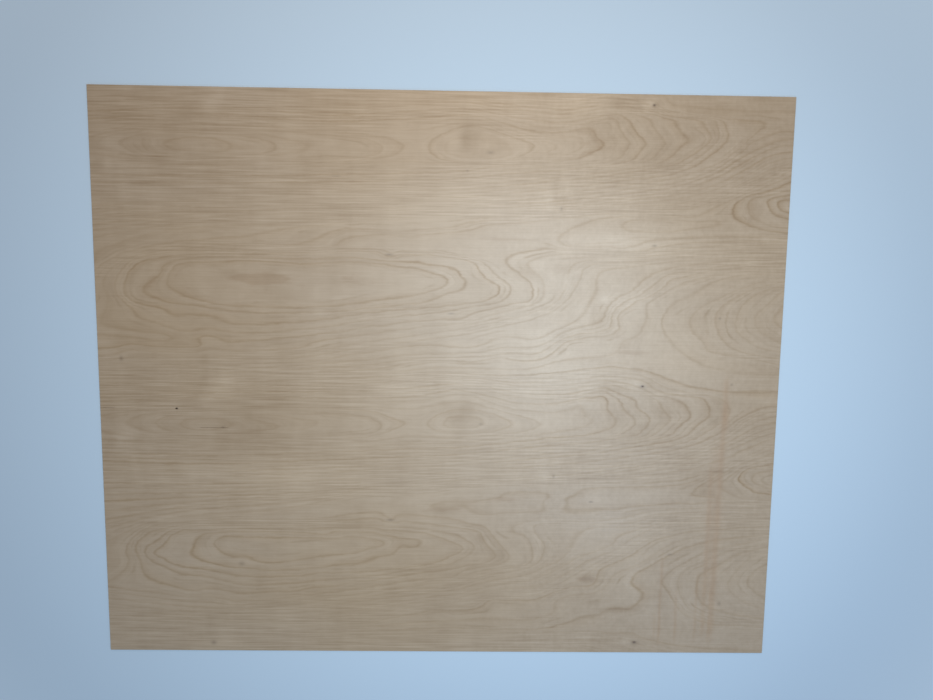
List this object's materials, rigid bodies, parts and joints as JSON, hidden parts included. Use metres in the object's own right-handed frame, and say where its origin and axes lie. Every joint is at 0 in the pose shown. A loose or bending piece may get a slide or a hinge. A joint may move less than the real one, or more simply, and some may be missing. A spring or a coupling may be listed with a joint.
{
  "type": "plywood sheet",
  "caption": "Flat rectangular sheet of thin rotary-cut birch plywood, with trimmed square edges and a light arris round both faces.",
  "frame": {"origin": "middle of the underside, which lies on z = 0", "axes": "+X along the face grain and the longer side, +Y across the face grain, +Z out of the face veneer"},
  "size_m": [1.5, 1.25, 0.004],
  "materials": {
    "birch_veneer": "matte"
  },
  "bodies": {
    "root": {"plywood_sheet": "birch_veneer"}
  },
  "joints": []
}
